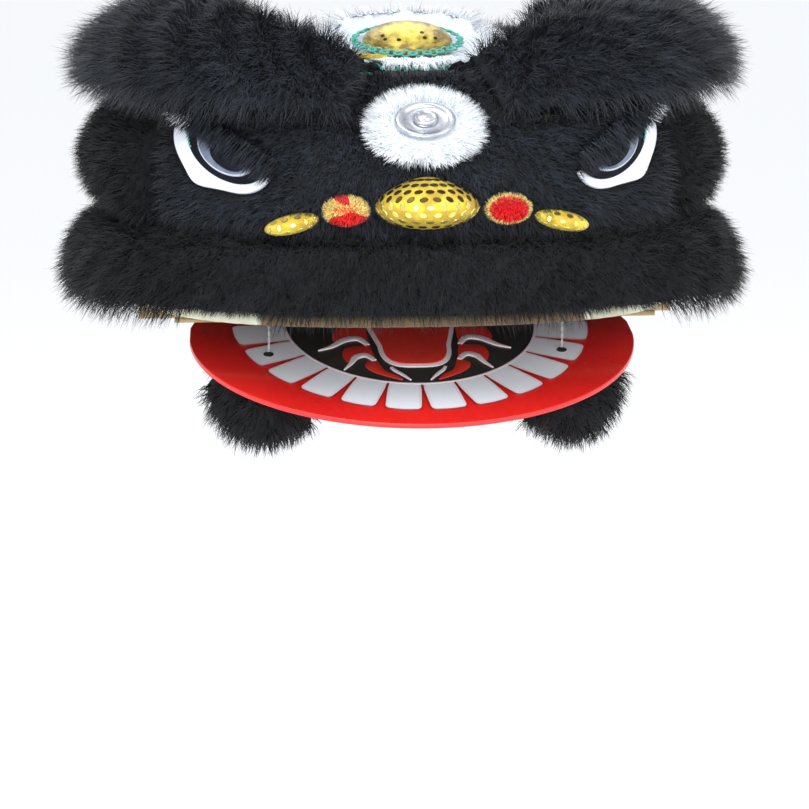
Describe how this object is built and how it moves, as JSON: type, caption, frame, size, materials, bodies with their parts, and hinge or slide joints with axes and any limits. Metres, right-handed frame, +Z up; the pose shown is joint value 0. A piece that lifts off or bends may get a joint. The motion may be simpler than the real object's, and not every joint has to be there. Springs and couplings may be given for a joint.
{
  "type": "lion dance head",
  "caption": "Hollow furred lion dance head with horn, mirror rosette, sequinned nose, eyes and a painted jaw board that hinges on a bar.",
  "frame": {"origin": "middle of the shell's rim plane, where the head is carried over the wearer", "axes": "+X to the picture's right across the head, -Y out of the face, +Z up"},
  "size_m": [0.6788, 0.5281, 0.4561],
  "materials": {
    "black_fur": "deep matt fur",
    "white_fur": "deep matt fur",
    "shell_lining": "stiffened cloth",
    "rim_wrap": "pale wrapped cloth",
    "bamboo": "smooth cane",
    "red_board": "glossy paint on board",
    "white_paint": "satin paint",
    "mouth_black": "matt paint",
    "gold_sequin": "sequinned cloth",
    "pompom_red": "wool",
    "turquoise_braid": "woven braid",
    "mirror_silver": "polished",
    "eye_white": "glossy",
    "eye_iris": "glossy",
    "eye_black": "glossy",
    "white_cord": "twisted cotton"
  },
  "bodies": {
    "root": {"head_shell": "shell_lining", "rim_hoop": "rim_wrap", "hinge_bar": "bamboo", "mouth_bar": "bamboo", "lip_fur": "black_fur", "face_fur": "black_fur", "crown_fur": "black_fur", "back_fur": "black_fur", "nose_bulb": "gold_sequin", "rosette_fur": "white_fur", "mirror_disc": "mirror_silver", "mirror_boss": "mirror_silver", "horn_fur": "white_fur", "horn_dome": "gold_sequin", "horn_braid": "turquoise_braid", "horn_base_trim": "turquoise_braid", "horn_flap": "gold_sequin", "brow_fur_left": "black_fur", "cheek_fur_left": "black_fur", "eye_white_left": "eye_white", "eye_socket_left": "eye_black", "eye_iris_left": "eye_iris", "eye_pupil_left": "eye_black", "pompom_left": "pompom_red", "nose_wing_left": "gold_sequin", "jaw_tie_left": "white_cord", "brow_fur_right": "black_fur", "cheek_fur_right": "black_fur", "eye_white_right": "eye_white", "eye_socket_right": "eye_black", "eye_iris_right": "eye_iris", "eye_pupil_right": "eye_black", "pompom_right": "pompom_red", "nose_wing_right": "gold_sequin", "jaw_tie_right": "white_cord"},
    "jaw": {"jaw_board": "red_board", "mouth_floor": "mouth_black", "teeth": "white_paint", "tongue_trim": "white_paint", "tongue": "red_board", "jaw_loop_left": "red_board", "beard_left": "black_fur", "curl_upper_left": "red_board", "curl_middle_left": "red_board", "curl_lower_left": "red_board", "jaw_loop_right": "red_board", "beard_right": "black_fur", "curl_upper_right": "red_board", "curl_middle_right": "red_board", "curl_lower_right": "red_board"}
  },
  "joints": [
    {"name": "jaw_hinge", "type": "hinge", "parent": "root", "child": "jaw", "pos_m": [0, -0.02, -0.02072], "axis": [-1, 0, 0], "range_deg": [0, 16], "deforming": ["jaw_tie_left", "jaw_tie_right"]}
  ]
}
